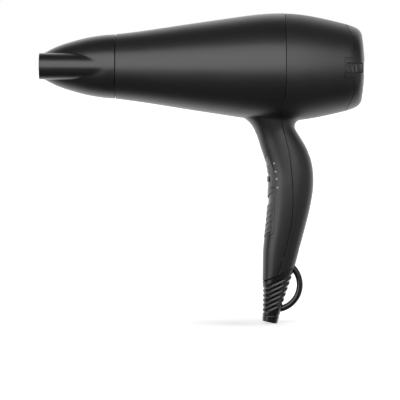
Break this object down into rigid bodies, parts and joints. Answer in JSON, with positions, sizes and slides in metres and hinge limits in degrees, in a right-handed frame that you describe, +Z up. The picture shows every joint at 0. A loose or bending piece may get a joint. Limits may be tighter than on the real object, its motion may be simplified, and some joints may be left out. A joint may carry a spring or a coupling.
{
  "type": "hair dryer",
  "caption": "Pistol hair dryer with a fixed handle, push-on concentrator nozzle, pull-off rear intake cap, thumb controls on the handle's front, ribbed cord boot and hanging loop.",
  "frame": {"origin": "on the barrel's axis, in the plane of the barrel's mouth where the nozzle seats", "axes": "+X along the barrel's axis from the mouth to the rear intake, +Z up, away from the handle; the dryer is symmetric about the plane Y = 0"},
  "size_m": [0.2588, 0.086, 0.2479],
  "materials": {
    "board": "green circuit board",
    "boot_rubber": "soft black rubber",
    "capacitor_case": "yellow film capacitor case",
    "carbon": "carbon block",
    "component": "moulded electrical component",
    "control_plastic": "satin charcoal moulding",
    "copper": "enamelled copper",
    "damper_rubber": "black rubber ring",
    "drawn_steel": "drawn steel can",
    "duct_nylon": "glass-filled nylon",
    "fan_nylon": "moulded nylon",
    "ferrite": "ferrite",
    "gloss_trim": "semi-gloss black moulding",
    "heating_wire": "oxidised resistance wire",
    "lamination": "stacked electrical steel",
    "lead_insulation": "silicone insulation",
    "mark_ink": "light grey raised mark",
    "mesh_steel": "blackened steel gauze",
    "mica": "silvery mica sheet",
    "rear_shell": "matt black moulding, slightly warmer than the front",
    "satin_shell": "satin, finely textured black moulding",
    "screw_steel": "zinc-plated steel",
    "sintered_bronze": "sintered bronze",
    "spring_steel": "spring steel"
  },
  "bodies": {
    "dryer_body": {"front_housing": "satin_shell", "rear_housing": "rear_shell", "housing_screws": "screw_steel", "outlet_spigot": "gloss_trim", "outlet_grille": "gloss_trim", "fan_duct": "duct_nylon", "motor_can": "drawn_steel", "motor_end_cap": "component", "field_magnets": "ferrite", "carbon_brushes": "carbon", "front_bearing": "sintered_bronze", "rear_bearing": "sintered_bronze", "motor_damper": "damper_rubber", "mica_tube": "mica", "mica_boards": "mica", "heater_coil": "heating_wire", "thermostat": "drawn_steel", "thermal_fuse": "drawn_steel", "diode_board": "board", "lead_wires": "lead_insulation", "switch_panel": "control_plastic", "setting_marks": "mark_ink", "switch_board": "board", "speed_switch": "component", "heat_switch": "component", "cool_switch": "component", "capacitor": "capacitor_case", "cord_clamp": "component", "clamp_screws": "screw_steel", "cord_boot": "boot_rubber", "hang_loop": "boot_rubber"},
    "nozzle": {"nozzle": "satin_shell"},
    "nozzle_clip": {"nozzle_clip_ring": "spring_steel"},
    "rear_cap": {"rear_cap": "rear_shell", "rear_grille": "rear_shell", "filter_mesh": "mesh_steel"},
    "fan": {"impeller": "fan_nylon", "motor_shaft": "drawn_steel", "armature": "lamination", "armature_windings": "copper", "commutator": "copper"},
    "speed_slider": {"speed_slider": "control_plastic", "speed_lever": "component"},
    "heat_slider": {"heat_slider": "control_plastic", "heat_lever": "component"},
    "cool_button": {"cool_shot_button": "control_plastic", "cool_plunger": "component", "cool_spring": "spring_steel"}
  },
  "joints": [
    {"name": "nozzle_pull", "type": "slide", "parent": "dryer_body", "child": "nozzle_clip", "axis": [-1, 0, 0], "range_m": [0, 0.014]},
    {"name": "nozzle_turn", "type": "hinge", "parent": "nozzle_clip", "child": "nozzle", "pos_m": [-0.0061, 0, 0], "axis": [1, 0, 0], "continuous": true},
    {"name": "cap_pull", "type": "slide", "parent": "dryer_body", "child": "rear_cap", "axis": [1, 0, 0], "range_m": [0, 0.013]},
    {"name": "fan_spin", "type": "hinge", "parent": "dryer_body", "child": "fan", "pos_m": [0.147, 0, 0], "axis": [1, 0, 0], "continuous": true},
    {"name": "speed_slide", "type": "hinge", "parent": "dryer_body", "child": "speed_slider", "pos_m": [-0.0975, 0, -0.103], "axis": [0, -1, 0], "range_deg": [0, 2.1]},
    {"name": "heat_slide", "type": "slide", "parent": "dryer_body", "child": "heat_slider", "axis": [0.02, 0, -0.9998], "range_m": [0, 0.004]},
    {"name": "cool_press", "type": "slide", "parent": "dryer_body", "child": "cool_button", "axis": [1, 0, 0], "range_m": [0, 0.0012], "stiffness_N_per_m": 1200, "springref_m": -0.0004, "deforming": ["cool_spring"]}
  ]
}
